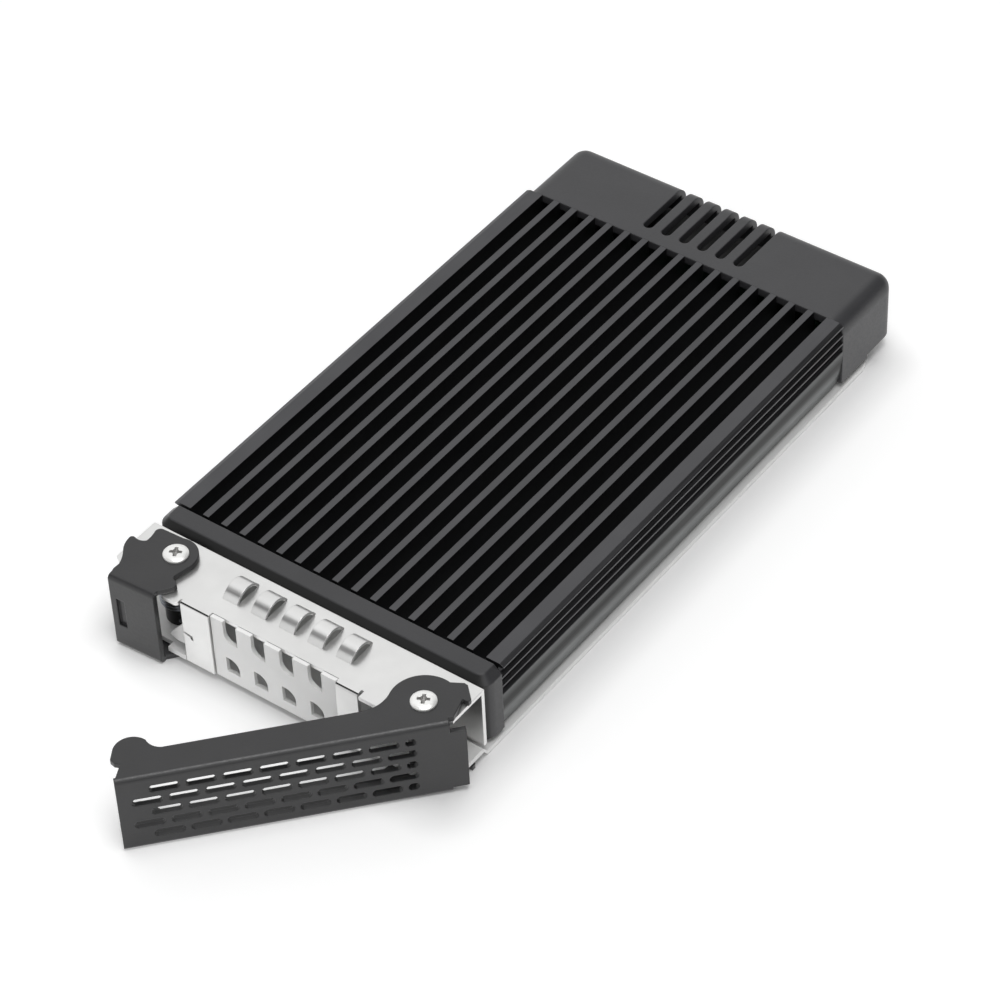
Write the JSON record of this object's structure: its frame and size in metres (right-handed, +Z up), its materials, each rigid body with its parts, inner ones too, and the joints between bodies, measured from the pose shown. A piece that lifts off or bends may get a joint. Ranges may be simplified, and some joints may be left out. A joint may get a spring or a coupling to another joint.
{
  "type": "hot swap drive caddy",
  "caption": "Hot swap drive caddy: finned drive enclosure on a folded steel tray, with a perforated swing handle and a spring latch at the front.",
  "frame": {"origin": "middle of the tray's flat underside, under the drive enclosure", "axes": "+Y towards the connector end, +Z up, +X to the right seen from the handle end"},
  "size_m": [0.0725, 0.1757, 0.017],
  "materials": {
    "zinc_steel": "zinc-plated sheet, satin",
    "fin_aluminium": "black anodised extrusion",
    "shell_aluminium": "bare, satin",
    "cap_plastic": "moulded, fine matt",
    "lever_coat": "black powder coat, fine grain",
    "screw_nickel": "nickel plated",
    "post_steel": "turned",
    "spring_steel": "drawn wire",
    "board_green": "solder mask",
    "connector_black": "moulded",
    "contact_gold": "gold plated",
    "chip_black": "epoxy",
    "pad_grey": "silicone pad"
  },
  "bodies": {
    "tray": {"tray_base": "zinc_steel", "front_cover": "zinc_steel", "heatsink": "fin_aluminium", "lower_shell": "shell_aluminium", "front_cap": "cap_plastic", "rear_cap": "cap_plastic", "handle_post": "post_steel", "handle_screw_top": "screw_nickel", "handle_screw_bottom": "screw_nickel", "latch_post": "post_steel", "latch_screw_top": "screw_nickel", "latch_screw_bottom": "screw_nickel", "latch_spring": "spring_steel", "tray_screws": "screw_nickel", "adapter_board": "board_green", "drive_connector": "connector_black", "connector_contacts": "contact_gold", "module_socket": "connector_black", "storage_module": "board_green", "module_chips": "chip_black", "thermal_pad": "pad_grey", "module_standoff": "post_steel", "module_screw": "screw_nickel"},
    "handle": {"handle": "lever_coat"},
    "latch": {"latch_lever": "lever_coat"}
  },
  "joints": [
    {"name": "handle_pivot", "type": "hinge", "parent": "tray", "child": "handle", "pos_m": [0.0292, -0.0614, 0.008], "axis": [0, 0, 1], "range_deg": [-48.2, 0]},
    {"name": "latch_pivot", "type": "hinge", "parent": "tray", "child": "latch", "pos_m": [-0.0259, -0.0578, 0.008], "axis": [0, 0, 1], "range_deg": [-12, 0], "stiffness_Nm_per_rad": 0.01, "springref_deg": 17.19}
  ]
}
